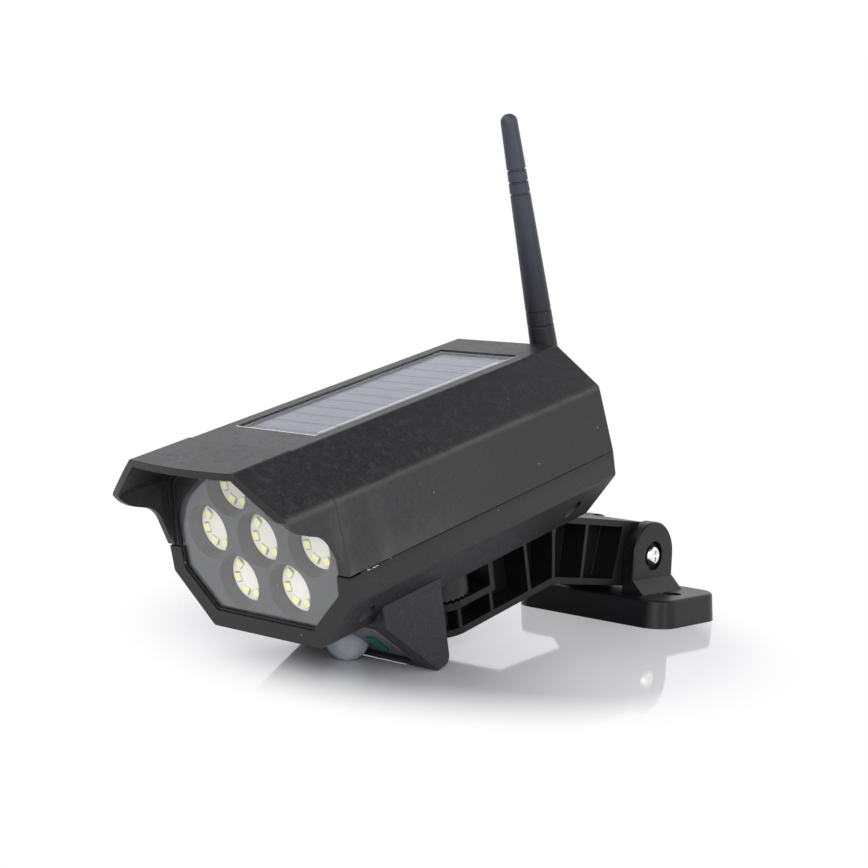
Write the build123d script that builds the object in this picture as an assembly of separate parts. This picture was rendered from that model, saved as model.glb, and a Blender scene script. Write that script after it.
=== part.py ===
from build123d import *
from math import atan2, cos, degrees, hypot, pi, radians, sin, tan
import os

# Security camera with a lamp face, a solar roof and a wall bracket, in millimetres.
# Row frame: origin at the centre of the base's mounting face, +Z out of that face,
# the lamp looks towards -Y. The rest pose lies on a table, base down, nose dipped.

# Clearances: faces that rest on each other, fixed fits, turning pins, passing faces.
touch_gap = 0.05
fit_gap = 0.2
run_gap = 0.06
move_gap = 0.3

# Head: half widths and drops below the top face, from the roof down to the floor.
top_half = 28.0
ridge_tuck = 2.5
ridge_drop = 17.0
seam_half = 50.0
seam_drop = 46.0
corner_tuck = 0.5
corner_drop = 57.5
floor_half = 30.0
floor_drop = 78.0
shell_length = 163.8
rear_lean = 4.4
wall = 2.5
edge_round = 2.2
rear_round = 1.2
seam_gap = 0.3
seam_notch_long = 6.0
seam_notch_deep = 0.6
tongue_wall = 1.4
tongue_high = 3.0
tongue_root = 2.5
tongue_front = 26.0

# Visor hood: reach of its edge, and the sweep of its cheeks back to the lamp frame.
hood_reach = 32.4
hood_ridge_reach = 25.5
hood_ridge_sweep = 2.5
hood_proud = 0.4
hood_ledge = 3.8
hood_ledge_deep = 1.2
tip_drop = 0.5
lip_reach = 17.0
lip_drop = 24.8
cheek_reach = 11.5
cheek_drop = 27.0
root_reach = 4.6
root_drop = 34.0
foot_reach = 0.4

# Lamp frame: a front flange, a plate behind it with a rounder window, and the lower sill.
bezel_depth = 1.6
flange_depth = 0.8
flange_inset = 5.7
window_side = 6.4
window_slant = 12.4
window_top = 9.0
window_shoulder = 16.0
window_corner = 4.0
sill_side = 7.5
sill_corner = 2.5
sill_floor = 7.9
sill_floor_in = 3.2
sill_round = 1.5
sill_step = 1.1
sill_step_deep = 0.6

# Lamp face.
lens_depth = 0.8
panel_skin = 1.5
cup_land = 1.6
cup_taper = 1.0
cup_depth = 6.5
cup_pitch = 28.0
cup_row = 19.0
cup_skin = 1.2
lamp_count = 7
lamp_turn = 17.5
lamp_ring = 7.0
lamp_long = 3.5
lamp_wide = 3.5
lamp_high = 0.8
board_depth = 1.6
board_inset = 4.7
pillar_across = 31.0
pillar_row = 18.75
pillar_radius = 2.6
pillar_screw = 1.1
pillar_screw_head = 2.2
pillar_screw_high = 1.4
pillar_screw_long = 5.5
stop_reach = 6.0
stop_deep = 2.0
stop_long = 5.0
stop_below_ridge = 3.0

# Solar roof.
solar_width = 43.0
solar_length = 123.8
solar_front = 20.0
solar_sink = 2.2
solar_rim = 3.0
solar_floor = 1.6
lead_hole = 4.0
lead_hole_ahead = 10.0
cell_depth = 1.1
ribbon_inset = 2.8
ribbon_depth = 0.15
ribbon_width = 0.9
cover_depth = 0.7

# Motion sensor shroud: a wedge under the nose, with a sloping plate, dome and button.
shroud_half = 38.3
shroud_front = 26.9
shroud_lip = 1.1
shroud_tip = 53.0
shroud_rear = 61.0
shroud_heel = 0.6
shroud_round = 4.0
shroud_wall = 2.5
shroud_edge_round = 0.6
shroud_post = 4.0
shroud_post_long = 16.0
shroud_screw_in = 5.0
shroud_screw_ahead = 5.5
shroud_screw_long = 13.0
plate_side = 8.8
plate_start = 3.2
plate_foot = 4.7
plate_corner = 3.0
plate_sink = 0.8
plate_flange = 1.5
plate_grip = 2.0
plate_tuck = 0.8
dome_radius = 9.3
dome_skin = 1.0
dome_below_middle = 3.9
dome_brim = 1.8
dome_brim_thick = 0.9
button_across = 17.0
button_above_dome = 0.5
button_long = 12.0
button_wide = 5.5
button_proud = 0.4
button_brim = 0.9
button_brim_thick = 0.8
button_stem = 1.4
button_stem_long = 0.5
button_travel = 0.8
switch_high = 2.6
switch_half = 3.0
switch_rim = 0.5
sensor_board_thick = 1.2
sensor_board_rim = 2.4
sensor_post = 1.9
sensor_pin = 1.2
sensor_pin_long = 1.9
sensor_post_left = 14.5
sensor_post_right = 9.5
sensor_post_up = 11.0
sensor_post_down = 8.0
can_radius = 4.1
can_high = 4.2
can_brim = 0.6
can_brim_thick = 0.8

# Bracket: base plate, two ears and the ribbed arm.
base_long = 88.0
base_wide = 52.0
base_high = 13.0
base_round = 12.0
base_draft = 4.5
base_skin = 3.0
base_rib = 3.0
base_edge_round = 1.4
wall_hole_at = 31.5
wall_hole = 2.4
wall_hole_sink = 4.5
wall_hole_floor = 4.0
wall_hole_boss = 2.5
ear_radius = 16.2
ear_thick = 6.0
ear_foot = 6.0
ear_edge_round = 0.8
knuckle_gap = 1.3
knuckle_low = 22.5
knuckle_high = 19.0
arm_half = 14.0
arm_high = 15.3
arm_skin = 3.0
arm_web = 3.0
arm_rib = 2.0
arm_rise = 6.3
rear_reach = 71.0
front_reach = 65.0
rear_rib_at = 47.4
front_rib_at = 45.4
riser_at = 19.0
platform_rib_at = 2.0
nose_down = 14.0
arm_under_head = 2.0
bolt_radius = 2.45
bolt_head = 4.8
bolt_head_high = 3.3
bolt_sink = 2.2
bolt_recess = 7.0
bolt_slack = 0.15
nut_across = 8.0
nut_high = 4.0

# Swivel between the arm and the head.
swivel_back = 98.4
boss_wall = 3.0
boss_core = 6.0
tooth_count = 30
tooth_high = 0.7
tooth_inner = 8.6
tooth_share = 0.86
tooth_root = 0.3
hub_radius = 8.0
platform_below = 0.8
swivel_clear = 24.0
swivel_wall = 2.5
swivel_screw_radius = 2.5
swivel_screw_head = 4.4
swivel_screw_high = 3.0
swivel_screw_grip = 12.0
washer_radius = 5.6
washer_thick = 1.0
washer_sink = 0.6
washer_room = 0.6

# Rear aerial.
aerial_across = 14.0
aerial_drop = 14.0
aerial_foot = 6.0
aerial_tip = 3.65
aerial_top = 113.3
aerial_pin = 3.0
aerial_plug = 4.0
aerial_plug_long = 2.0
socket_radius = 8.5
socket_thick = 1.2
elbow_radius = 7.0
elbow_high = 10.5
elbow_cap = 1.3
pin_reach = 5.0
groove_low = 20.7
groove_low_step = 6.3
groove_high = 79.0
groove_high_step = 5.2
groove_half = 0.5
groove_deep = 0.55

# Fasteners and inner pieces.
shell_screw_across = 39.0
shell_screw_rear = 15.0
shell_screw_long = 16.0
shell_screw_head = 3.0
shell_screw_high = 2.2
shell_post = 4.0
tunnel_radius = 3.6
tunnel_wall = 1.4
screw_seat_below = 6.0
small_screw = 1.45
small_head = 2.9
small_head_high = 2.0
control_left = 6.0
control_front = 28.0
control_width = 22.0
control_length = 56.0
control_thick = 1.6
control_hole_in = 6.0
control_chip_long = 10.0
control_chip_high = 2.5
control_coil_long = 14.0
control_coil_high = 4.5
control_screw = 1.0
control_screw_head = 2.1
control_screw_high = 1.3
control_screw_long = 5.0
standoff_radius = 2.6
standoff_high = 4.0
wire_hole = 6.0
wire_hole_long = 8.0
cell_radius = 9.2
cell_length = 65.0
cell_from_rear = 36.0
cell_lift = 8.4
cell_cap = 3.0
cell_cap_high = 1.4
trough_wall = 2.2
trough_end = 2.9

# Places worked out from the sizes above.
big = 400.0
ridge_half = seam_half - ridge_tuck
corner_half = seam_half - corner_tuck
inner_floor = wall - floor_drop
ear_inner = arm_half + move_gap
ear_outer = ear_inner + ear_thick
hinge_high = base_high + knuckle_gap + arm_high
boss_radius = arm_half
bend_y = -rear_reach * cos(radians(arm_rise))
bend_z = hinge_high + rear_reach * sin(radians(arm_rise))
swivel_y = bend_y - front_reach * cos(radians(nose_down))
swivel_z = bend_z - front_reach * sin(radians(nose_down))
arm_drop = floor_drop + arm_under_head + arm_high
head_y = swivel_y - swivel_back * cos(radians(nose_down)) - arm_drop * sin(radians(nose_down))
head_z = swivel_z - swivel_back * sin(radians(nose_down)) + arm_drop * cos(radians(nose_down))
head_at = Location((0, head_y, head_z), (nose_down, 0, 0))
arm_front_at = Location((0, swivel_y, swivel_z), (nose_down, 0, 0))
arm_rear_at = Location((0, 0, hinge_high), (-arm_rise, 0, 0))
platform_top = -platform_below
platform_under = platform_top - arm_skin
boss_face = platform_top + 2 * tooth_high + move_gap
washer_seat = platform_under - washer_sink
shroud_top = -(floor_drop + shroud_lip)
shroud_floor = (touch_gap - head_z - shroud_tip * sin(radians(nose_down))) / cos(radians(nose_down))
slope_angle = degrees(atan2(shroud_top - shroud_floor, shroud_tip - shroud_front))
slope_length = hypot(shroud_top - shroud_floor, shroud_tip - shroud_front)
sensor_at = Location((0, shroud_front, shroud_top), (-slope_angle, 0, 0))
plate_half = shroud_half - plate_side
plate_end = slope_length - plate_foot
plate_back = shroud_wall + fit_gap + plate_flange
button_back = plate_back + move_gap + button_brim_thick + button_stem_long
sensor_board_at = button_back + button_travel + touch_gap + switch_high
dome_along = (plate_start + plate_end) / 2 + dome_below_middle
button_along = dome_along - button_above_dome
sensor_spots = [
    (-sensor_post_left, dome_along - sensor_post_up),
    (-sensor_post_left, dome_along + sensor_post_down),
    (sensor_post_right, dome_along - sensor_post_up),
]
shroud_screw_y = shroud_rear - shroud_screw_ahead
shroud_screw_spots = [(side * (floor_half - shroud_screw_in), shroud_screw_y) for side in (-1, 1)]
rear_at = Location((0, shell_length, 0), (rear_lean, 0, 0))
aerial_y = shell_length + aerial_drop * tan(radians(rear_lean))
aerial_at = Location((aerial_across, aerial_y, -aerial_drop), (rear_lean, 0, 0))
aerial_out = socket_thick + move_gap + aerial_foot
lens_front = bezel_depth + touch_gap
panel_front = lens_front + lens_depth + touch_gap
board_front = panel_front + cup_depth
board_back = board_front + board_depth
stop_front = panel_front + panel_skin + touch_gap
cup_mouth = (hypot(cup_pitch / 2, cup_row) - cup_land) / 2
cup_foot = cup_mouth - cup_taper
cup_centre = -floor_drop / 2
cups = [(side * cup_pitch, cup_centre) for side in (-1, 0, 1)]
cups += [(side * cup_pitch / 2, cup_centre + row * cup_row) for side in (-1, 1) for row in (-1, 1)]
pillar_rows = (cup_centre - pillar_row, cup_centre + pillar_row)
pillars = [(side * pillar_across, z) for side in (-1, 1) for z in pillar_rows]
screw_seat = -(seam_drop + screw_seat_below)
post_radius = tunnel_radius + tunnel_wall
shell_screw_rows = (board_back + pillar_screw_high + post_radius, shell_length - shell_screw_rear)
shell_screw_spots = [(side * shell_screw_across, y) for side in (-1, 1) for y in shell_screw_rows]
control_at = inner_floor + standoff_high
control_x = control_left + control_width / 2
control_rows = (control_front + control_hole_in, control_front + control_length - control_hole_in)
cell_back = shell_length - cell_from_rear
cell_high = inner_floor + cell_lift + cell_radius
standing = (Align.CENTER, Align.CENTER, Align.MIN)


def prism_y(sketch, front, back):
    """Run a sketch drawn in X and Z from y = front to y = back."""
    plane = Plane((0, front, 0), x_dir=(1, 0, 0), z_dir=(0, -1, 0))
    return extrude(plane * sketch, amount=front - back)


def prism_x(sketch, left, right):
    """Run a sketch drawn in Y and Z from x = left to x = right."""
    plane = Plane((left, 0, 0), x_dir=(0, 1, 0), z_dir=(1, 0, 0))
    return extrude(plane * sketch, amount=right - left)


def outline(points):
    return make_face(Polyline(*points, close=True))


def mirrored(right):
    """Complete an outline from its right half, drawn from the top down."""
    return right + [(-x, z) for x, z in reversed(right)]


def block(low, high):
    """A box between two opposite corners."""
    size = [b - a for a, b in zip(low, high)]
    return Pos(*low) * Box(*size, align=(Align.MIN, Align.MIN, Align.MIN))


def above(z):
    return block((-big, -big, z), (big, big, big))


def below(z):
    return block((-big, -big, -big), (big, big, z))


def rod_z(radius, low, high, x=0.0, y=0.0):
    return Pos(x, y, low) * Cylinder(radius, high - low, align=standing)


def rod_y(radius, front, back, x=0.0, z=0.0):
    return Pos(x, front, z) * Rot(-90, 0, 0) * Cylinder(radius, back - front, align=standing)


def rod_x(radius, left, right, y=0.0, z=0.0):
    return Pos(left, y, z) * Rot(0, 90, 0) * Cylinder(radius, right - left, align=standing)


def group(solids):
    return Compound(children=[piece.solid() for piece in solids])


def pan_screw(head, high, shank, length):
    """Cross-recess pan head screw: the head hangs below z = 0, the shank stands above it."""
    crown = (head * 0.45, -high)
    rim = (head, -high * 0.3)
    profile = make_face(
        Line((0, -high), crown)
        + ThreePointArc(crown, (head * 0.88, -high * 0.72), rim)
        + Polyline(rim, (head, 0), (0, 0), (0, -high))
    )
    screw = revolve(Plane.XZ * profile, Axis.Z) + rod_z(shank, 0, length)
    slot = block((-head * 0.55, -head * 0.11, -high - 1), (head * 0.55, head * 0.11, -high * 0.45))
    return screw - slot - Rot(0, 0, 90) * slot


def head_section(inset=0.0):
    """Cross-section of the whole head, in X and Z, drawn in by inset."""
    right = [
        (top_half, 0),
        (ridge_half, -ridge_drop),
        (seam_half, -seam_drop),
        (corner_half, -corner_drop),
        (floor_half, -floor_drop),
    ]
    face = make_face(FilletPolyline(*mirrored(right), radius=edge_round, close=True))
    return offset(face, amount=-inset) if inset else face


def head_block(inset=0.0, front=0.0, back=0.0):
    """The head as a solid, from y = front to the leaning rear face less back."""
    body = prism_y(head_section(inset), front, shell_length + big / 10)
    keep = Box(big, big, big, align=(Align.CENTER, Align.MAX, Align.CENTER))
    return body & (rear_at * Pos(0, -back, 0) * keep)


def head_outer():
    """The head with the edge of its rear face rounded."""
    body = head_block()
    return fillet(body.faces().sort_by(Axis.Y)[-1].edges(), rear_round)


def window():
    """Opening of the plate behind the flange: straight sides and wide round shoulders."""
    run = ridge_half - top_half
    slant = top_half * ridge_drop - window_slant * hypot(run, ridge_drop)
    side = seam_half - window_side
    right = [
        ((slant + window_top * run) / ridge_drop, -window_top),
        (side, (slant - side * ridge_drop) / run),
        (side, -seam_drop - wall),
    ]
    radii = [window_corner, window_shoulder, wall / 2]
    return make_face(FilletPolyline(*mirrored(right), radius=radii + radii[::-1], close=True))


def sill():
    """Opening of the lower frame, from above the parting line down to its floor."""
    right = [
        (seam_half - sill_side, -seam_drop + 2 * wall),
        (seam_half - sill_side, -seam_drop),
        (corner_half - sill_side, -corner_drop + sill_corner),
        (floor_half - sill_floor_in, -floor_drop + sill_floor),
    ]
    return make_face(FilletPolyline(*mirrored(right), radius=sill_round, close=True))


def stops(half, low):
    """A pair of lugs on the side walls that hold the lamp panel from behind."""
    high = (half + wall, stop_front + stop_deep, low + stop_long)
    right = block((half - stop_reach, stop_front, low), high)
    return (right + mirror(right, Plane.YZ)) & head_block(wall / 2, touch_gap)


# Visor hood: the peak over the lamp. It plugs into the mouth of the upper shell.
def hood_plan():
    """Plan of the hood in X and Y: an arched front edge between the two ridges."""
    right = (ridge_half, -hood_ridge_reach)
    left = (-ridge_half, -hood_ridge_reach)
    wide = seam_half + hood_reach
    swept = hood_ridge_sweep - hood_ridge_reach
    back = Polyline(right, (wide, swept), (wide, 0), (-wide, 0), (-wide, swept), left)
    return make_face(ThreePointArc(left, (0, -hood_reach), right) + back)


def hood_side():
    """Side of the hood in Y and Z: a rolled lip that sweeps back down to the lamp frame."""
    tip = (-hood_ridge_reach, -ridge_drop - tip_drop)
    lip = (-lip_reach, -lip_drop)
    cheek = (-cheek_reach, -cheek_drop)
    root = (-root_reach, -root_drop)
    ahead = -2 * hood_reach
    up = (lip[0] - cheek[0], lip[1] - cheek[1])
    down = (-up[0], -up[1])
    foot = (-foot_reach, -seam_drop)
    back = Polyline(tip, (ahead, 0), (ahead, wall), (0, wall), (0, -seam_drop), foot, root)
    sweep = TangentArc(lip, tip, tangent=up) + Line(cheek, lip) + TangentArc(cheek, root, tangent=down)
    return make_face(back + sweep)


def visor_hood():
    side = prism_x(hood_side(), -big, big)
    skin = prism_y(offset(head_section(), amount=hood_proud), -2 * hood_reach, 0)
    skin -= prism_y(head_section(wall), -3 * hood_reach, 1)
    skin = skin & extrude(hood_plan(), amount=big, both=True) & side
    ledge = prism_y(head_section(), -hood_ledge_deep, 0)
    ledge -= prism_y(head_section(hood_ledge), -big / 10, 1)
    mouth = head_section(wall + fit_gap)
    flange = prism_y(mouth, 0, flange_depth) - prism_y(head_section(flange_inset), -1, bezel_depth)
    plate = prism_y(mouth, flange_depth, bezel_depth) - prism_y(window(), 0, bezel_depth + 1)
    return (skin + (ledge & side) + ((flange + plate) & above(-seam_drop))).solid()


# Upper shell: roof and sides down to the parting line, with the pocket for the solar sheet.
def upper_shell():
    shell = (head_outer() & above(-seam_drop)) - head_block(wall, -1, wall)
    half = solar_width / 2
    back = solar_front + solar_length
    low = (-half - solar_rim, solar_front - solar_rim, -solar_sink - solar_floor)
    shell += block(low, (half + solar_rim, back + solar_rim, -wall / 2)) & head_block(wall / 2, 1)
    for x, y in shell_screw_spots:
        shell += rod_z(shell_post, -seam_drop, 0, x, y) & head_block(wall / 2, 1, wall / 2)
    shell += stops(ridge_half, -ridge_drop - stop_below_ridge - stop_long)
    half += fit_gap
    shell -= block((-half, solar_front - fit_gap, -solar_sink), (half, back + fit_gap, wall))
    hole = back - lead_hole_ahead
    shell -= block((-lead_hole, hole - lead_hole / 2, -big / 40), (lead_hole, hole + lead_hole / 2, 0))
    for x, y in shell_screw_spots:
        shell -= rod_z(small_screw + touch_gap, -seam_drop - 1, screw_seat + shell_screw_long + 2, x, y)
    shell -= aerial_at * rod_y(aerial_plug + run_gap, -3 * wall, 1)
    return shell.solid()


# Lower shell: floor, lower frame of the lamp face, screw tunnels and the swivel boss.
def lower_shell():
    top = -seam_drop - seam_gap
    shell = (head_outer() & below(top)) - head_block(wall, bezel_depth, wall)
    shell -= prism_y(sill(), -1, bezel_depth + 1)
    shell -= prism_y(offset(sill(), amount=sill_step), -1, sill_step_deep)
    inside = wall + fit_gap + tongue_wall
    bare = head_block(inside, tongue_front - 1, inside)
    root = head_block(wall / 2, tongue_front, wall / 2) & above(top - tongue_root) & below(top - seam_gap)
    tongue = head_block(wall + fit_gap, tongue_front, wall + fit_gap)
    shell += (root + (tongue & above(top - 2 * seam_gap) & below(top + tongue_high))) - bare
    for x, y in shell_screw_spots:
        shell += rod_z(post_radius, -floor_drop, top, x, y) & head_block(wall / 4, 1, wall / 2)
    shell += stops(corner_half, -corner_drop)
    shell -= block((-big, -1, top - seam_notch_deep), (big, seam_notch_long, top + 1))
    for x, y in shell_screw_spots:
        shell -= rod_z(tunnel_radius, -floor_drop - wall, screw_seat, x, y)
        shell -= rod_z(small_screw + fit_gap, screw_seat - 1, top + 1, x, y)
    shell -= rod_z(boss_radius - boss_wall, -floor_drop - 1, 0, 0, swivel_back)
    shell += swivel_boss()
    screw_end = boss_face - arm_drop + swivel_screw_grip
    shell -= rod_z(swivel_screw_radius + touch_gap, -big, screw_end + 2, 0, swivel_back)
    for x, y in shroud_screw_spots:
        shell -= rod_z(small_screw + fit_gap, -floor_drop - 1, inner_floor + 1, x, y)
    wires = shroud_front + 2 * shroud_wall
    high = (wire_hole, wires + wire_hole_long, inner_floor + 1)
    shell -= block((-wire_hole, wires, -floor_drop - 1), high)
    for y in control_rows:
        shell += rod_z(standoff_radius, inner_floor - wall / 4, control_at, control_x, y)
        shell -= rod_z(control_screw + touch_gap, inner_floor, control_at + 1, control_x, y)
    return shell.solid()


def swivel_boss():
    """Cup under the head with a core for the screw, a ring of teeth and a hub inside the ring."""
    face = boss_face - arm_drop
    boss = rod_z(boss_radius, face, inner_floor, 0, swivel_back)
    boss -= rod_z(boss_radius - boss_wall, face + boss_wall, 0, 0, swivel_back)
    boss += rod_z(boss_core, face, inner_floor, 0, swivel_back)
    boss += rod_z(hub_radius, platform_top - arm_drop + move_gap, face + boss_wall / 2, 0, swivel_back)
    return boss + Pos(0, swivel_back, face) * Rot(180, 0, 180 / tooth_count) * teeth()


def teeth():
    """Ring of radial ratchet teeth standing on z = 0."""
    half = pi * (boss_radius + tooth_inner) / 2 / tooth_count * tooth_share
    points = [(-half, -tooth_root), (half, -tooth_root), (half, 0), (0, tooth_high), (-half, 0)]
    tooth = prism_x(outline(points), tooth_inner, boss_radius)
    ring = Part() + [Rot(0, 0, 360 / tooth_count * k) * tooth for k in range(tooth_count)]
    return ring & rod_z(boss_radius, -1, tooth_high + 1)


# Lamp face: clear lens, grey cup panel, white board and the lamps on it.
def front_lens():
    return prism_y(head_section(wall + fit_gap), lens_front, lens_front + lens_depth).solid()


def reflector_panel():
    back = board_front - touch_gap
    depth = back - panel_front
    sheet = prism_y(head_section(wall + fit_gap), panel_front, panel_front + panel_skin)
    spots = [Pos(x, panel_front, z) * Rot(-90, 0, 0) for x, z in cups]
    for spot in spots:
        sheet += spot * Cone(cup_mouth + cup_skin, cup_foot + cup_skin, depth, align=standing)
    for spot in spots:
        sheet -= spot * Cone(cup_mouth, cup_foot, depth, align=standing)
    for x, z in pillars:
        sheet += rod_y(pillar_radius, panel_front + panel_skin / 2, back, x, z)
        sheet -= rod_y(pillar_screw + touch_gap, board_back - pillar_screw_long - 0.5, back + 1, x, z)
    return sheet.solid()


def led_board():
    board = prism_y(head_section(board_inset), board_front, board_back)
    for x, z in pillars:
        board -= rod_y(pillar_screw + fit_gap, board_front - 1, board_back + 1, x, z)
    return board.solid()


def led_chips():
    chips = []
    for x, z in cups:
        for k in range(lamp_count):
            spoke = Rot(0, 360 / lamp_count * k + lamp_turn, 0) * Pos(lamp_ring, -lamp_high / 2, 0)
            chips.append(Pos(x, board_front, z) * spoke * Box(lamp_long, lamp_high, lamp_wide))
    return group(chips)


def board_screws():
    screw = pan_screw(pillar_screw_head, pillar_screw_high, pillar_screw, pillar_screw_long)
    return group([Pos(x, board_back, z) * Rot(90, 0, 0) * screw for x, z in pillars])


# Solar roof: dark cell sheet, silver edge ribbon and the clear skin over both.
def solar_sheet(low, high, inset):
    half = solar_width / 2 - inset
    return block((-half, solar_front + inset, low), (half, solar_front + solar_length - inset, high))


def solar_cells():
    return solar_sheet(touch_gap - solar_sink, cell_depth - solar_sink, 0).solid()


def solar_ribbon():
    low = cell_depth - solar_sink
    ring = solar_sheet(low, low + ribbon_depth, ribbon_inset)
    return (ring - solar_sheet(low - 1, low + 1, ribbon_inset + ribbon_width)).solid()


def solar_cover():
    low = cell_depth + ribbon_depth - solar_sink
    return solar_sheet(low, low + cover_depth, 0).solid()


# Sensor shroud: a hollow wedge under the nose. Its slope looks forward and down.
def shroud_outline():
    return outline([
        (shroud_front, -corner_drop),
        (shroud_front, shroud_top),
        (shroud_tip, shroud_floor),
        (shroud_rear, shroud_floor + shroud_heel),
        (shroud_rear, -corner_drop),
    ])


def slope_plate(grow, low, high, grow_top=None):
    """Plate lying in the slope: low and high are depths behind its face."""
    start = plate_start - (grow if grow_top is None else grow_top)
    length = plate_end + grow - start
    sketch = RectangleRounded(2 * (plate_half + grow), length, plate_corner + grow)
    return Pos(0, start + length / 2, low) * extrude(sketch, amount=high - low)


def sensor_shroud():
    outer = prism_x(shroud_outline(), -shroud_half, shroud_half)
    heel = outer.edges().filter_by(Axis.X).sort_by(Axis.Y)[-2:].sort_by(Axis.Z)[0]
    outer = fillet(heel, shroud_round)
    flanks = outer.faces().sort_by(Axis.X)
    outer = fillet(flanks[0].edges() + flanks[-1].edges(), shroud_edge_round)
    half = shroud_half - shroud_wall
    outer -= prism_x(offset(shroud_outline(), amount=-shroud_wall, kind=Kind.INTERSECTION), -half, half)
    mouth = (-half, shroud_front + shroud_wall, -corner_drop - 3 * shroud_wall)
    outer -= block(mouth, (half, shroud_rear - shroud_wall, 0))
    foot = -floor_drop - shroud_post_long
    for x, y in shroud_screw_spots:
        outer += rod_z(shroud_post, foot, -corner_drop, x, y)
    outer -= sensor_at * slope_plate(0, -2 * plate_foot, shroud_wall + fit_gap)
    outer -= head_block(-touch_gap)
    for x, y in shroud_screw_spots:
        outer -= rod_z(small_screw + touch_gap, foot + 2 * shroud_wall, 0, x, y)
    return outer.solid()


def shroud_screws():
    screw = Rot(180, 0, 0) * pan_screw(small_head, small_head_high, small_screw, shroud_screw_long)
    return group([Pos(x, y, inner_floor) * screw for x, y in shroud_screw_spots])


def sensor_plate():
    flange = plate_back - plate_flange
    plate = slope_plate(-fit_gap, plate_sink, flange)
    plate += slope_plate(plate_grip, flange, plate_back, -plate_tuck)
    plate -= rod_z(dome_radius + fit_gap, -1, plate_back + 1, 0, dome_along)
    plate -= button_form(move_gap, -1, plate_back + 1)
    for x, y in sensor_spots:
        plate += rod_z(sensor_post, flange + plate_flange / 2, sensor_board_at, x, y)
        plate += rod_z(sensor_pin, flange, sensor_board_at + sensor_pin_long, x, y)
    return (sensor_at * plate).solid()


def button_form(grow, low, high):
    sketch = SlotOverall(button_long + 2 * grow, button_wide + 2 * grow, rotation=90)
    return Pos(button_across, button_along, low) * extrude(sketch, amount=high - low)


def mode_button():
    brim = plate_back + move_gap
    button = button_form(0, plate_sink - button_proud, brim + button_brim_thick / 2)
    button += button_form(button_brim, brim, brim + button_brim_thick)
    button += rod_z(button_stem, brim, button_back, button_across, button_along)
    return (sensor_at * button).solid()


def sensor_dome():
    ball = Sphere(dome_radius) & below(0)
    hollow = Sphere(dome_radius - dome_skin) & below(0)
    centre = Pos(0, dome_along, plate_sink)
    dome = centre * ball + rod_z(dome_radius, plate_sink, plate_back + dome_brim_thick, 0, dome_along)
    dome += rod_z(dome_radius + dome_brim, plate_back, plate_back + dome_brim_thick, 0, dome_along)
    dome -= centre * hollow
    dome -= rod_z(dome_radius - dome_skin, plate_sink, plate_back + 2, 0, dome_along)
    return (sensor_at * dome).solid()


def sensor_can():
    can = rod_z(can_radius, sensor_board_at - can_high, sensor_board_at, 0, dome_along)
    can += rod_z(can_radius + can_brim, sensor_board_at - can_brim_thick, sensor_board_at, 0, dome_along)
    return (sensor_at * can).solid()


def sensor_board():
    low = sensor_board_at
    left = -sensor_post_left - sensor_board_rim
    right = button_across + switch_half + switch_rim
    upper = dome_along - sensor_post_up - sensor_board_rim
    lower = dome_along + sensor_post_down + sensor_board_rim
    board = block((left, upper, low), (right, lower, low + sensor_board_thick))
    switch = (button_across - switch_half, button_along - switch_half, low - switch_high)
    board += block(switch, (button_across + switch_half, button_along + switch_half, low + touch_gap))
    for x, y in sensor_spots:
        board -= rod_z(sensor_pin + touch_gap, low - 1, low + 3, x, y)
    return (sensor_at * board).solid()


# Inside the head: charge board, battery trough and its cell.
def control_board():
    right = control_left + control_width
    top = control_at + control_thick
    board = block((control_left, control_front, control_at), (right, control_front + control_length, top))
    middle = control_front + control_length / 2
    chip = (control_left + control_screw_high, middle - control_chip_long, top - touch_gap)
    board += block(chip, (control_x, middle, top + control_chip_high))
    coil = (control_x + control_screw_head, middle, top - touch_gap)
    board += block(coil, (right - control_screw_high, middle + control_coil_long, top + control_coil_high))
    for y in control_rows:
        board -= rod_z(control_screw + fit_gap, control_at - 1, top + 1, control_x, y)
    return board.solid()


def control_screws():
    screw = pan_screw(control_screw_head, control_screw_high, control_screw, control_screw_long)
    seat = control_at + control_thick
    return group([Pos(control_x, y, seat) * Rot(180, 0, 0) * screw for y in control_rows])


def battery_trough():
    half = cell_radius + trough_wall
    reach = cell_length / 2 + trough_end
    trough = block((-reach, cell_back - half, inner_floor), (reach, cell_back + half, cell_high))
    room = cell_length / 2 + fit_gap + touch_gap
    trough -= rod_x(cell_radius + fit_gap / 2, -room, room + cell_cap_high / 2, cell_back, cell_high)
    return (trough & head_block(wall + touch_gap, wall, wall)).solid()


def battery_cell():
    end = cell_length / 2
    cell = rod_x(cell_radius, -end, end - cell_cap_high / 2, cell_back, cell_high)
    cell += rod_x(cell_cap, end - cell_cap_high, end + fit_gap, cell_back, cell_high)
    return cell.solid()


def shell_screws():
    screw = pan_screw(shell_screw_head, shell_screw_high, small_screw, shell_screw_long)
    return group([Pos(x, y, screw_seat) * screw for x, y in shell_screw_spots])


# Rear aerial: a fixed socket on the leaning rear face, and the elbow and whip that turn on its pin.
def aerial_socket():
    socket = rod_y(socket_radius, touch_gap, socket_thick)
    socket += rod_y(aerial_plug, -wall - aerial_plug_long, socket_thick / 2)
    socket += rod_y(aerial_pin, socket_thick / 2, aerial_out + pin_reach)
    return (aerial_at * socket).solid()


def aerial_elbow():
    front = socket_thick + move_gap
    hole = aerial_out + pin_reach + move_gap
    elbow = rod_y(elbow_radius, front, hole + elbow_cap) + rod_z(aerial_foot, 0, elbow_high, 0, aerial_out)
    elbow -= rod_y(aerial_pin + run_gap, front - 1, hole)
    return (aerial_at * elbow).solid()


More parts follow.
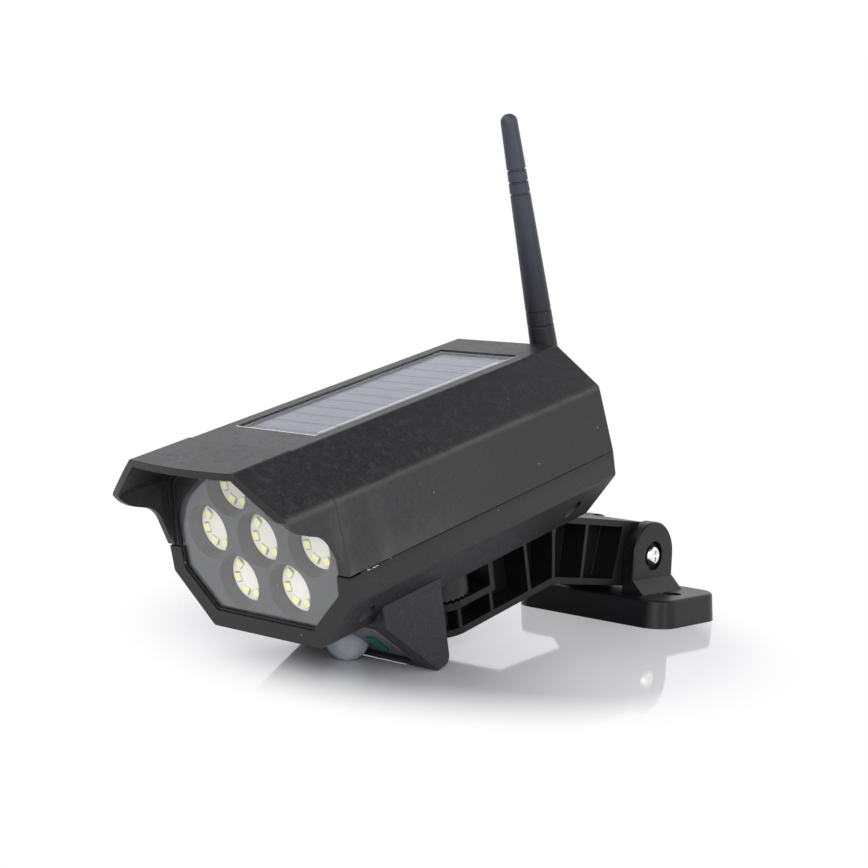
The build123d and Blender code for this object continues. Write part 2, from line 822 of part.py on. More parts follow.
def aerial_whip():
    """Tapered whip with two ring grooves low down and three near its upper third."""
    curve = aerial_tip * 0.95
    shoulder = aerial_top - curve

    def radius(z):
        return aerial_foot + (aerial_tip - aerial_foot) * (z - elbow_high) / (shoulder - elbow_high)

    points = [(0, elbow_high), (aerial_foot, elbow_high)]
    grooves = [groove_low + k * groove_low_step for k in range(2)]
    grooves += [groove_high + k * groove_high_step for k in range(3)]
    for z in grooves:
        skin = radius(z)
        root = skin - groove_deep
        points += [(skin, z - groove_half), (root, z - groove_half / 2)]
        points += [(root, z + groove_half / 2), (skin, z + groove_half)]
    points.append((aerial_tip, shoulder))
    flat = aerial_tip - curve
    knee = curve * sin(radians(45))
    crown = ThreePointArc(points[-1], (flat + knee, shoulder + knee), (flat, aerial_top))
    side = Polyline(*points) + crown + Polyline((flat, aerial_top), (0, aerial_top), (0, elbow_high))
    whip = Pos(0, aerial_out, 0) * revolve(Plane.XZ * make_face(side), Axis.Z)
    return (aerial_at * whip).solid()


# Bracket arm: a ribbed I-beam in two straight runs, cranked at the bend.
def arm_outline():
    rise = radians(arm_rise)
    fall = radians(nose_down)
    rear_up = (sin(rise), cos(rise))
    front_up = (-sin(fall), cos(fall))
    lean = 1 + rear_up[0] * front_up[0] + rear_up[1] * front_up[1]
    bend_up = ((rear_up[0] + front_up[0]) / lean, (rear_up[1] + front_up[1]) / lean)
    nose = (swivel_y - boss_radius * cos(fall), swivel_z - boss_radius * sin(fall))
    spine = [((0, hinge_high), rear_up), ((bend_y, bend_z), bend_up), (nose, front_up)]
    upper = [(y + arm_high * up[0], z + arm_high * up[1]) for (y, z), up in spine]
    lower = [(y - arm_high * up[0], z - arm_high * up[1]) for (y, z), up in spine]
    return outline(upper + lower[::-1])


def pockets(sketch):
    """Pockets of one outline, cut from each side down to the middle web."""
    right = prism_x(sketch, arm_web / 2, 2 * arm_half)
    return right + mirror(right, Plane.YZ)


def pocket_run(low_y, high_y, low_z, high_z):
    return pockets(outline([(low_y, low_z), (high_y, low_z), (high_y, high_z), (low_y, high_z)]))


def bracket_arm():
    deep = arm_high - arm_skin
    rib = arm_rib / 2
    arm = prism_x(arm_outline(), -arm_half, arm_half) + rod_x(arm_high, -arm_half, arm_half, 0, hinge_high)
    nose = rod_z(arm_half, -2 * arm_high, 2 * arm_high)
    arm = arm & (arm_front_at * (nose + block((-big, 0, -big), (big, big, big))))
    arm -= arm_front_at * rod_z(swivel_clear, platform_top, 4 * arm_high)
    tall = pocket_run(riser_at + rib, front_rib_at - rib, -deep, deep)
    tall -= rod_z(swivel_clear + swivel_wall, platform_under, 4 * arm_high)
    tall += pocket_run(front_rib_at + rib, front_reach, -deep, deep)
    low = pocket_run(arm_rib - boss_radius, -platform_rib_at - rib, -deep, platform_under)
    low += pocket_run(rib - platform_rib_at, riser_at - rib, -deep, platform_under)
    low -= rod_z(hub_radius, -4 * arm_high, 4 * arm_high)
    arm -= arm_front_at * (tall + low)
    rear = pocket_run(-rear_reach, -rear_rib_at - rib, -deep, deep)
    start = rib - rear_rib_at
    rear += pockets(outline([(start, -deep), (-knuckle_low, -deep), (-knuckle_high, deep), (start, deep)]))
    arm -= arm_rear_at * rear
    bend_at = Location((0, bend_y, bend_z), ((nose_down - arm_rise) / 2, 0, 0))
    arm += bend_at * Box(2 * arm_half, arm_rib, 2 * arm_high)
    arm += arm_front_at * Pos(0, 0, platform_top) * teeth()
    arm -= arm_front_at * rod_z(washer_radius + washer_room, -4 * arm_high, washer_seat)
    arm -= arm_front_at * rod_z(swivel_screw_radius + run_gap, -4 * arm_high, 4 * arm_high)
    arm -= rod_x(bolt_radius + run_gap, -big, big, 0, hinge_high)
    return arm.solid()


# Swivel screw and washer, put in from below through the arm's platform.
def swivel_washer():
    top = washer_seat - move_gap
    washer = rod_z(washer_radius, top - washer_thick, top)
    washer -= rod_z(swivel_screw_radius + touch_gap, top - 2 * washer_thick, top + 1)
    return (arm_front_at * washer).solid()


def swivel_screw():
    seat = washer_seat - move_gap - washer_thick
    reach = boss_face + swivel_screw_grip - seat
    screw = pan_screw(swivel_screw_head, swivel_screw_high, swivel_screw_radius, reach)
    return (arm_front_at * Pos(0, 0, seat) * screw).solid()


# Wall base: a shallow hollow plate with two ears for the arm's knuckle.
def base_ear():
    """The near ear: a round-topped cheek with a flared foot."""
    foot = base_high - base_skin / 2
    left = (-ear_radius, hinge_high)
    right = (ear_radius, hinge_high)
    crown = ThreePointArc(left, (0, hinge_high + ear_radius), right)
    cheek = make_face(crown + Polyline(right, (ear_radius, foot), (-ear_radius, foot), left))
    ear = prism_x(cheek, ear_inner, ear_outer)
    rim = ear.faces().sort_by(Axis.X)[-1].edges().sort_by(Axis.Z)[1:]
    ear = fillet(rim, ear_edge_round)
    inside = ear_outer - 2 * ear_edge_round
    toe = ear_outer + ear_foot
    flare = outline([
        (inside, foot),
        (toe, foot),
        (toe, base_high),
        (ear_outer, base_high + ear_foot),
        (inside, base_high + ear_foot),
    ])
    return ear + prism_y(flare, -ear_radius, ear_radius)


def wall_base():
    plate = extrude(RectangleRounded(base_long, base_wide, base_round), amount=base_high, taper=base_draft)
    plate = fillet(plate.faces().sort_by(Axis.Z)[-1].edges(), base_edge_round)
    ear = base_ear()
    plate += ear + mirror(ear, Plane.YZ)
    inner = RectangleRounded(base_long - 2 * base_skin, base_wide - 2 * base_skin, base_round - base_skin)
    hollow = extrude(inner, amount=base_high - base_skin, taper=base_draft)
    hollow -= Box(base_rib, big, big) + Box(big, base_rib, big)
    for side in (-1, 1):
        hollow -= rod_z(wall_hole_sink + wall_hole_boss, -1, base_high, side * wall_hole_at)
    plate -= hollow
    for side in (-1, 1):
        plate -= rod_z(wall_hole, -1, base_high + 1, side * wall_hole_at)
        plate -= rod_z(wall_hole_sink, wall_hole_floor, base_high + ear_foot + 1, side * wall_hole_at)
    plate -= rod_x(bolt_radius + bolt_slack, -big, big, 0, hinge_high)
    plate -= rod_x(bolt_recess, ear_outer - bolt_sink, big, 0, hinge_high)
    seat = RegularPolygon(nut_across / 2 + fit_gap, 6, major_radius=False)
    plate -= Pos(-ear_outer, 0, hinge_high) * Rot(0, 90, 0) * extrude(seat, amount=nut_high + fit_gap)
    return plate.solid()


def hinge_bolt():
    seat = ear_outer - bolt_sink
    bolt = pan_screw(bolt_head, bolt_head_high, bolt_radius, seat + ear_outer - move_gap)
    return (Pos(seat, 0, hinge_high) * Rot(0, -90, 0) * bolt).solid()


def hinge_nut():
    nut = extrude(RegularPolygon(nut_across / 2, 6, major_radius=False), amount=nut_high)
    nut -= rod_z(bolt_radius + touch_gap, -1, nut_high + 1)
    return (Pos(touch_gap - ear_outer, 0, hinge_high) * Rot(0, 90, 0) * nut).solid()


fixed = {
    "wall_base": wall_base,
    "hinge_bolt": hinge_bolt,
    "hinge_nut": hinge_nut,
    "bracket_arm": bracket_arm,
    "swivel_screw": swivel_screw,
    "swivel_washer": swivel_washer,
}
on_head = {
    "visor_hood": visor_hood,
    "upper_shell": upper_shell,
    "lower_shell": lower_shell,
    "shell_screws": shell_screws,
    "front_lens": front_lens,
    "reflector_panel": reflector_panel,
    "led_board": led_board,
    "led_chips": led_chips,
    "board_screws": board_screws,
    "solar_cells": solar_cells,
    "solar_ribbon": solar_ribbon,
    "solar_cover": solar_cover,
    "sensor_shroud": sensor_shroud,
    "shroud_screws": shroud_screws,
    "sensor_plate": sensor_plate,
    "sensor_dome": sensor_dome,
    "sensor_can": sensor_can,
    "sensor_board": sensor_board,
    "mode_button": mode_button,
    "control_board": control_board,
    "control_screws": control_screws,
    "battery_trough": battery_trough,
    "battery_cell": battery_cell,
    "aerial_socket": aerial_socket,
    "aerial_elbow": aerial_elbow,
    "aerial_whip": aerial_whip,
}

os.makedirs("parts", exist_ok=True)
for name, make in fixed.items():
    export_step(make(), f"parts/{name}.step")
for name, make in on_head.items():
    export_step(head_at * make(), f"parts/{name}.step")
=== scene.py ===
import bpy
import bmesh
from math import cos, exp, pi, radians, tau
from mathutils import Matrix, Vector


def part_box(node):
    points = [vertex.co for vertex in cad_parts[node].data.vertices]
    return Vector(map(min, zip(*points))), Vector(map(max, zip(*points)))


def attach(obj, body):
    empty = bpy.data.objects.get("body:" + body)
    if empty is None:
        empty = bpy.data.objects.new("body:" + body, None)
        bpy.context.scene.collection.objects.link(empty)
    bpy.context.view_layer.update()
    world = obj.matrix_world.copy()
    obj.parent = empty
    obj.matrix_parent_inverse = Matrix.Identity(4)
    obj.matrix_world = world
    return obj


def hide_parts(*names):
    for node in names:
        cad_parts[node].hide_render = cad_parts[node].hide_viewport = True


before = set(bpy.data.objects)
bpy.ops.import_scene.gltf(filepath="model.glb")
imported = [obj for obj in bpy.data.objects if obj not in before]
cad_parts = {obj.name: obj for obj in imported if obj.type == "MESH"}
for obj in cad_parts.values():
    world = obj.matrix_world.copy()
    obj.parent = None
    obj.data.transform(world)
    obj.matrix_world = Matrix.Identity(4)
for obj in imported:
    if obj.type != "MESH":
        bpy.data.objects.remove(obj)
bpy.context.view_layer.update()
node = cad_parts


# Wall base: a shallow hollow plate with two ears, moulded in black ABS.
# It came out of a polished tool, so it is satin, with faint flow marks and rubbed edges, which are
# painted pale enough to stand for the highlights on their rounding too.
class Wire:
    """A socket among a material's nodes. Arithmetic on wires adds Math nodes."""

    def __init__(self, tree, socket=None):
        self.tree = tree
        self.socket = socket

    def feed(self, target, sockets):
        for name, value in sockets.items():
            if isinstance(value, Wire):
                self.tree.links.new(value.socket, target.inputs[name])
            else:
                target.inputs[name].default_value = value

    def node(self, kind, settings={}, sockets={}, out=0):
        made = self.tree.nodes.new("ShaderNode" + kind)
        for name, value in settings.items():
            setattr(made, name, value)
        self.feed(made, sockets)
        return Wire(self.tree, made.outputs[out])

    def math(self, operation, *values):
        return self.node("Math", {"operation": operation}, dict(enumerate(values)))

    def __add__(self, other):
        return self.math("ADD", self, other)

    def __sub__(self, other):
        return self.math("SUBTRACT", self, other)

    def __rsub__(self, other):
        return self.math("SUBTRACT", other, self)

    def __mul__(self, other):
        return self.math("MULTIPLY", self, other)

    def __truediv__(self, other):
        return self.math("DIVIDE", self, other)

    def __mod__(self, other):
        return self.math("FLOORED_MODULO", self, other)

    def __abs__(self):
        return self.math("ABSOLUTE", self)

    def __gt__(self, other):
        return self.math("GREATER_THAN", self, other)

    def __lt__(self, other):
        return self.math("LESS_THAN", self, other)

    __radd__ = __add__
    __rmul__ = __mul__

    def rise(self, low, high):
        """A smooth step from 0 at low to 1 at high."""
        sockets = {"Value": self, "From Min": low, "From Max": high}
        return self.node("MapRange", {"interpolation_type": "SMOOTHSTEP"}, sockets)

    def blend(self, none, full):
        """A colour: none where this wire is 0, full where it is 1."""
        return self.node("Mix", {"data_type": "RGBA"}, {0: self, 6: none, 7: full}, 2)

    def part(self, axis):
        return self.node("SeparateXYZ", {}, {0: self}, axis)

    def vector(self, operation, other, out=0):
        return self.node("VectorMath", {"operation": operation}, {0: self, 1: other}, out)

    def noise(self, size, detail=2.0):
        return self.node("TexNoise", {}, {"Vector": self, "Scale": 1 / size, "Detail": detail}, "Fac")


def new_finish(name):
    """A material, and the place on the resting part in millimetres."""
    made = bpy.data.materials.new(name)
    made.use_nodes = True
    wire = Wire(made.node_tree)
    place = wire.node("TexCoord", out="Object")
    return made, place.vector("MULTIPLY", (1000, 1000, 1000))


def grey(tone, blue=1.0):
    return (tone, tone, tone * blue, 1.0)


def shade(made, sockets, height=None, relief=0.02, round_edges=0.3):
    """Close a finish: values for its shader, a height in relief millimetres, and softened edges."""
    wire = Wire(made.node_tree)
    shader = made.node_tree.nodes["Principled BSDF"]
    facing = wire.node("Bevel", {"samples": 4}, {"Radius": round_edges / 1000})
    if height is not None:
        facing = wire.node("Bump", {}, {"Height": height, "Distance": relief / 1000, "Normal": facing})
    wire.feed(shader, {**sockets, "Normal": facing})
    return made


def worn_edges(spot, reach):
    """1 on outer edges that hands and cartons rub, 0 on flat faces and in corners."""
    soft = spot.node("Bevel", {"samples": 4}, {"Radius": reach / 1000})
    true = spot.node("NewGeometry", out="True Normal")
    same = soft.vector("DOT_PRODUCT", true, "Value")
    near_by = {"samples": 4, "only_local": True}
    open_side = spot.node("AmbientOcclusion", near_by, {"Distance": 0.003}, "AO")
    patchy = spot.noise(4.0, 3.0).rise(0.3, 0.7)
    return (1 - same).rise(0.01, 0.2) * patchy * open_side.rise(0.6, 0.9)


def specks(spot, gap, size, share):
    """Sparse dust: dots of about the given size, in that share of cells gap apart."""
    cells = {"Vector": spot, "Scale": 1 / gap}
    near = spot.node("TexVoronoi", {}, cells, "Distance") < size / gap / 2
    picked = spot.node("TexVoronoi", {}, cells, "Color").part(0) < share
    return near * picked


def scratches(spot, along, share):
    """Hairline scratches that run mostly along one axis, in some patches only."""
    squeeze = [1.0, 1.0, 1.0]
    squeeze[along] = 0.12
    line = abs(spot.vector("MULTIPLY", squeeze).noise(7.0, 1.0) - 0.5)
    return (1 - line.rise(0.0, 0.006)) * spot.noise(23.0, 2.0).rise(1 - share, 1.08 - share)


def dress(finish, *names):
    for name in names:
        node[name].data.materials.clear()
        node[name].data.materials.append(finish)


def satin_black(name, tone, rough, blue=1.18, pale=3.2, marks=()):
    """Satin black ABS. pale says how many times lighter its rubbed edges are, and a mark is
    a share from 0 to 1 on the part's places, with its colour."""
    made, spot = new_finish(name)
    flow = spot.vector("MULTIPLY", (1.0, 0.25, 0.6)).noise(14.0, 4.0)
    rubbed = worn_edges(spot, 0.7)
    fine = scratches(spot, 0, 0.45)
    dust = specks(spot, 8.0, 0.5, 0.10)
    body = flow.blend(grey(tone * 0.8, blue), grey(tone * 1.2, blue))
    for mark, paint in marks:
        body = mark(spot).blend(body, paint)
    marked = (rubbed * 0.5 + fine * 0.3).blend(body, grey(tone * pale, blue))
    return shade(made, {
        "Base Color": dust.blend(marked, grey(0.2)),
        "Roughness": rough + flow * 0.12 - rubbed * 0.08,
        "Specular IOR Level": 0.27,
    }, spot.noise(1.1, 3.0), 0.012, 0.35)


# The base's edges are this pale to carry a painted highlight as well as wear.
satin = satin_black("base satin black", tone=0.0055, rough=0.30, pale=7.0)
dress(satin, "wall_base")

# Hinge bolt and nut: an M5 pan head bolt in bright nickel, clamped through both ears.
# The plate is smooth and a little smeared; the nut in the far ear is zinc plated.
made, spot = new_finish("bright nickel")
smear = spot.noise(1.6, 4.0)
nickel = shade(made, {
    "Base Color": smear.blend(grey(0.74), grey(0.92)),
    "Metallic": 1.0,
    "Roughness": 0.08 + smear * 0.14,
}, smear, 0.03, 0.35)
dress(nickel, "hinge_bolt")


def zinc_plate(name, tone):
    made, spot = new_finish(name)
    haze = spot.noise(2.4, 4.0)
    dull = (tone * 0.8, tone * 0.8, tone * 0.84, 1)
    clean = (tone, tone * 0.99, tone * 0.95, 1)
    return shade(made, {
        "Base Color": haze.blend(dull, clean),
        "Metallic": 1.0,
        "Roughness": 0.24 + haze * 0.22,
    }, spot.noise(0.5, 2.0), 0.008, 0.15)


zinc = zinc_plate("zinc plate", 0.6)
dress(zinc, "hinge_nut")

# Bracket arm: a cranked I-beam in the same black ABS, ribbed, with the swivel's teeth on its platform.
# It is moulded by itself, a little duller than the base.
dress(satin_black("arm satin black", tone=0.0045, rough=0.36), "bracket_arm")

# Swivel screw and washer: zinc-plated steel, put in from below through the arm's platform.
# They hold the head's toothed boss down on the arm.
dress(zinc, "swivel_screw", "swivel_washer")

# Lower shell: the floor half of the head, moulded in black ABS from a finely spark-eroded tool.
# Four screws from below clamp it to the upper shell. Its top edge has a pale nick by the seam.
head_tilt = radians(14.0)
head_origin = (0.0, -252.1727, 90.3303)
lamp_middle = -40.0
window_front = 0.1
window_back = 4.0
seam_level = -46.4
seam_side = 45.0
nick_drop = 0.35
nick_at = 12.6
nick_half = 3.0
nick_thin = 0.17


def along_head(spot):
    """Millimetres in the head's own frame: y back from the lamp frame, z up from the roof."""
    sockets = {"Vector": spot, "Location": head_origin, "Rotation": (head_tilt, 0, 0)}
    return spot.node("Mapping", {"vector_type": "TEXTURE"}, sockets)


def frame_wall_shade(own):
    """1 on the walls of the lamp window, which face the middle of the lamp: these walls get painted
    shade.
    """
    facing = own.node("TexCoord", out="Normal")
    turned = {"Vector": facing, "Angle": -head_tilt}
    facing = own.node("VectorRotate", {"rotation_type": "X_AXIS"}, turned)
    outward = facing.part(0) * own.part(0) + facing.part(2) * (own.part(2) - lamp_middle)
    return (outward < -6.0) * (own.part(1) > window_front) * (own.part(1) < window_back)


def grained_black(name, tone, rough, gloss=0.5, marks=()):
    """Grained black ABS. A mark is a share from 0 to 1 on the head's places, with its colour."""
    made, spot = new_finish(name)
    own = along_head(spot)
    grain = own.noise(0.8, 3.0)
    cloud = own.noise(26.0, 4.0)
    mottle = own.noise(3.2, 5.0)
    edges = worn_edges(own, 0.9)
    fine = scratches(own, 1, 0.42)
    wall_shade = frame_wall_shade(own)
    body = cloud.blend(grey(tone * 0.8, 1.18), grey(tone * 1.2, 1.14))
    blotch = mottle.rise(0.48, 0.72)
    pale = grain.rise(0.45, 0.75) * 0.6 + blotch * 0.4
    colour = pale.blend(body, grey(tone * 3.4, 1.1))
    colour = (edges * 0.35 + fine * 0.25).blend(colour, grey(tone * 5.0, 1.08))
    # Painted shade on the lamp window's walls.
    colour = wall_shade.blend(colour, grey(tone * 0.15))
    for mark, paint in marks:
        colour = mark(own).blend(colour, paint)
    return shade(made, {
        "Base Color": specks(own, 9.0, 0.75, 0.6).blend(colour, grey(0.22)),
        "Roughness": rough + cloud * 0.08 - edges * 0.1 + blotch * 0.08 + wall_shade * 0.5,
        "Specular IOR Level": gloss,
    }, grain, 0.03, 0.35)


def seam_nick(own):
    """A short pale nick just under the seam, on the near side only."""
    wander = (own.noise(1.5, 3.0) - 0.5) * 0.9
    thin = abs(own.part(2) - (seam_level - nick_drop) + wander) < nick_thin
    short = abs(own.part(1) - nick_at) < nick_half
    return thin * (own.part(0) > seam_side) * short * (own.noise(2.2, 2.0) > 0.44)


def hem_shadow_and_grime(own):
    """Painted shadow under the upper shell's hem, with grime in the step."""
    below = seam_level - own.part(2)
    outside = abs(own.part(0)).rise(seam_side - 1.0, seam_side + 2.0)
    return (1 - below.rise(0.3, 4.0)) * (below > -0.2) * outside * 0.75


def slope_painted_shade(own):
    """Painted shade on the undercut slopes, which face downwards."""
    return (own.node("TexCoord", out="Normal").part(2) < -0.25) * 0.9


lower_marks = [(slope_painted_shade, grey(0.001)), (hem_shadow_and_grime, grey(0.0008)), (seam_nick, grey(0.5))]
lower_black = grained_black(
    "lower shell black", tone=0.006, rough=0.40, gloss=0.42, marks=lower_marks)
dress(lower_black, "lower_shell")
dress(zinc, "shell_screws")

# Charge board, cell and trough: the works inside the head. A green board on two posts takes the sheet's
# current, and a round cell in a blue shrink sleeve lies in a black trough on the floor.
made, spot = new_finish("green solder mask")
tracks = spot.noise(1.8, 1.0)
copper = abs(tracks - 0.5) < 0.04
green_board = shade(made, {
    "Base Color": copper.blend((0.012, 0.085, 0.035, 1), (0.030, 0.150, 0.060, 1)),
    "Roughness": 0.35 + tracks * 0.1,
}, tracks, 0.02, 0.1)
dress(green_board, "control_board")
dress(zinc, "control_screws")
dress(satin, "battery_trough")
made, spot = new_finish("cell sleeve")
crease = spot.vector("MULTIPLY", (0.2, 1.0, 1.0)).noise(3.0, 3.0)
dress(shade(made, {
    "Base Color": crease.blend((0.02, 0.10, 0.30, 1), (0.03, 0.14, 0.38, 1)),
    "Roughness": 0.25 + crease * 0.15,
}, crease, 0.05, 0.2), "battery_cell")

# Sensor wedge: a hollow box under the nose in the shell's grained ABS, held by two screws from inside.
# Its sloping frame is dark, with a painted highlight along the edge of the plate's window.
slope_start = (0.0, 26.9, -79.1)
slope_down = (0.0, 0.693, -0.721)
slope_out = (0.0, -0.721, -0.693)
slope_half = 29.5
slope_from = 3.2
slope_to = 33.0
slope_edge = 1.0
slope_skin = 0.3
highlight_fades_from = 14.0
highlight_fades_to = 34.0


def slope_frame(own):
    """The dark sloping face round the plate's window."""
    height = own.vector("SUBTRACT", slope_start).vector("DOT_PRODUCT", slope_out, "Value")
    return (abs(height) < slope_skin) * 0.8


def slope_edge_highlight(own):
    """A painted highlight along the window's edge, which fades downwards."""
    down = own.vector("SUBTRACT", slope_start).vector("DOT_PRODUCT", slope_down, "Value")
    past = down.math("MAXIMUM", slope_from - down, down - slope_to)
    past = past.math("MAXIMUM", past, abs(own.part(0)) - slope_half)
    fade = 1 - down.rise(highlight_fades_from, highlight_fades_to)
    patchy = own.noise(3.0, 3.0).rise(0.2, 0.5)
    return slope_frame(own) * (past < slope_edge) * patchy * fade


wedge_marks = [(slope_frame, grey(0.001)), (slope_edge_highlight, grey(0.24, 1.05))]
wedge_black = grained_black(
    "wedge grained black", tone=0.010, rough=0.42, gloss=0.36, marks=wedge_marks)
dress(wedge_black, "sensor_shroud")
dress(zinc, "shroud_screws")

# Sensor can and board: the pickup behind the dome, and the board that carries it and the switch.
# The board sits on three pins of the plate.
dress(zinc_plate("sensor can", 0.55), "sensor_can")
dress(green_board, "sensor_board")

# Sensor plate: a glossy smoke-grey plate in the wedge's sloping window, with a painted reflection that
# makes it paler towards its top.
# It slides in from inside and holds the dome by its flange.
made, spot = new_finish("plate smoke grey")
own = along_head(spot)
film = own.noise(6.0, 3.0)
reflection_from = -101.0
reflection_to = -83.0
painted_reflection = own.part(2).rise(reflection_from, reflection_to)
button_low, button_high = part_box("mode_button")
button_middle = [500 * (low + high) for low, high in zip(button_low, button_high)]
button_half = 3.25
button_round = 2.75
button_run = (0.0, 0.847, -0.532)
off = spot.vector("SUBTRACT", button_middle)
lengthwise = off.vector("DOT_PRODUCT", button_run, "Value")
past_end = off.math("MAXIMUM", abs(lengthwise) - button_half, 0.0)
from_button = off.math("SQRT", off.part(0) * off.part(0) + past_end * past_end)
# A painted shade ring on the plate round the button's slot.
gap = 1 - from_button.rise(button_round + 0.2, button_round + 1.1)
smoke = (painted_reflection * 0.85 + film * 0.15).blend(grey(0.006, 1.15), grey(0.105, 1.12))
dress(shade(made, {
    "Base Color": gap.blend(smoke, grey(0.001)),
    "Roughness": 0.16 + film * 0.1,
}, own.noise(1.2, 2.0), 0.008, 0.3), "sensor_plate")

# Sensor dome: a frosted polyethylene lens, thin enough to glow a little.
# Its small lenses and faint rings are moulded on the inside and show through.
made, spot = new_finish("frosted dome")
own = along_head(spot)
milk = own.noise(5.0, 4.0)
dome_centre = (0.0, 42.71, -94.39)
dome_axis = (0.0, 0.721, 0.693)
ring_pitch = 1.15
facet_pitch = 5.0
depth = own.vector("SUBTRACT", dome_centre).vector("DOT_PRODUCT", dome_axis, "Value")
ring = abs((depth / ring_pitch) % 1.0 - 0.5) * 2
facet = own.node("TexVoronoi", {}, {"Vector": own, "Scale": 1 / facet_pitch}, "Distance")
thick = milk * 0.5 + ring * 0.15 + facet * 0.5
tint = thick.blend((0.47, 0.50, 0.54, 1), (0.26, 0.29, 0.33, 1))
dress(shade(made, {
    "Base Color": tint,
    "Roughness": 0.26 + milk * 0.1,
    "Subsurface Weight": 0.4,
    "Subsurface Radius": (0.004, 0.004, 0.005),
    "Subsurface Scale": 1.0,
}, ring * 0.1 + facet, 0.25, 0.2), "sensor_dome")

# Mode button: a soft green pill that slides in the plate's slot and works the switch behind it.
# Moulded silicone, slightly shiny where fingers press it.
made, spot = new_finish("button green")
own = along_head(spot)
touch = own.noise(2.2, 3.0)
dress(shade(made, {
    "Base Color": touch.blend((0.001, 0.115, 0.062, 1), (0.002, 0.170, 0.095, 1)),
    "Roughness": 0.45 + touch * 0.15,
    "Specular IOR Level": 0.2,
}, own.noise(0.4, 2.0), 0.015, 0.4), "mode_button")

# Upper shell: roof and sides in the same grained ABS, with a pocket moulded in for the solar sheet.
# Handling has scuffed it grey along its front edge and above the seam.
rub_and_highlight_grey = (0.046, 0.044, 0.042, 1)
side_from = 46.4
side_full = 47.2
ridge_side = 47.5
ridge_level = -17.0
rub_front = 1.5
rub_band = 21.0
pocket_half = 22.0
pocket_front = 19.3
pocket_back = 143.5
highlight_side = 0.6
highlight_front = 0.8


def upright_side(own):
    return abs(own.part(0)).rise(side_from, side_full)


def scuffed(own):
    """Soft streaks where the sides have been rubbed."""
    haze = own.vector("MULTIPLY", (1.0, 0.8, 0.5)).noise(6.0, 5.0).rise(0.22, 0.78)
    return haze * upright_side(own) * 0.7


def ridge_wear_and_highlight(own):
    """The worn line along the ridge, where the slanting side meets the upright one, with a painted
    highlight on its rounding.
    """
    across = abs(own.part(0)) - ridge_side
    down = own.part(2) - ridge_level
    away = own.math("SQRT", across * across + down * down)
    patchy = own.vector("MULTIPLY", (1.0, 0.3, 1.0)).noise(5.0, 4.0).rise(0.15, 0.6)
    return (1 - away.rise(0.2, 2.4)) * patchy * 0.8


def shell_rubs(own):
    """Scuffs along the front edge, in a band behind it, and above the seam's front half."""
    front = 1 - abs(own.part(1) - rub_front).rise(0.5, 6.0)
    band = (1 - abs(own.part(1) - rub_band).rise(1.0, 7.0)) * 0.6
    hem = (-1 * own.part(2)).rise(33.0, 45.0) * (1 - own.part(1).rise(45.0, 80.0)) * 0.7
    return (front + band + hem) * scuffed(own)


def rear_painted_shade(own):
    """Painted shade on the upright side, deeper towards the rear."""
    return own.part(1).rise(40.0, 145.0) * upright_side(own) * 0.9


def hood_seam(own):
    """The dirt line where the hood meets the shell."""
    facing = abs(own.node("TexCoord", out="Normal").part(1)) < 0.6
    return (1 - abs(own.part(1)).rise(0.15, 0.7)) * facing * 0.95


def pocket_edge_highlight(own):
    """A painted highlight along the near and front edges of the solar sheet's pocket."""
    across = own.part(0)
    behind = own.part(1)
    side = (across > pocket_half - highlight_side) * (across < pocket_half)
    side = side * (behind > pocket_front) * (behind < pocket_back)
    front = (behind > pocket_front) * (behind < pocket_front + highlight_front)
    front = front * (abs(across) < pocket_half)
    patchy = own.noise(9.0, 3.0).rise(0.15, 0.45)
    return side.math("MAXIMUM", side, front) * (own.part(2) > -0.3) * patchy


shell_marks = [
    (rear_painted_shade, grey(0.001)), (shell_rubs, rub_and_highlight_grey), (ridge_wear_and_highlight, rub_and_highlight_grey),
    (hood_seam, grey(0.001)), (pocket_edge_highlight, grey(0.85)),
]
upper_black = grained_black("upper shell black", tone=0.0075, rough=0.38, marks=shell_marks)
dress(upper_black, "upper_shell")

# Solar sheet: eleven dark cell strips on a backing board, with a silver tab at each strip's end.
# A clear skin of epoxy is poured over it, and creeps up the pocket's walls.
head_at = Matrix.Translation(Vector(head_origin) / 1000)
head_at = head_at @ Matrix.Rotation(head_tilt, 4, "X") @ Matrix.Scale(0.001, 4)


def on_head(name, form, finishes, slot, *stands_for):
    """A piece drawn in the head's own millimetres, that moves with the head."""
    mesh = bpy.data.meshes.new(name)
    form.transform(head_at)
    form.to_mesh(mesh)
    form.free()
    for finish in finishes:
        mesh.materials.append(finish)
    made = bpy.data.objects.new(name, mesh)
    bpy.context.scene.collection.objects.link(made)
    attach(made, "head")
    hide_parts(*stands_for)


def add_block(form, place, size, soft, finish=0):
    """A block with rounded edges, of one finish, centred on a place."""
    scale = Matrix.Diagonal((*size, 1.0))
    points = bmesh.ops.create_cube(form, size=1.0, matrix=place @ scale)["verts"]
    faces = {face for point in points for face in point.link_faces}
    edges = {edge for point in points for edge in point.link_edges}
    for face in faces:
        face.material_index = finish
    bmesh.ops.bevel(form, geom=list(edges), offset=soft, segments=2, profile=0.5, affect="EDGES")


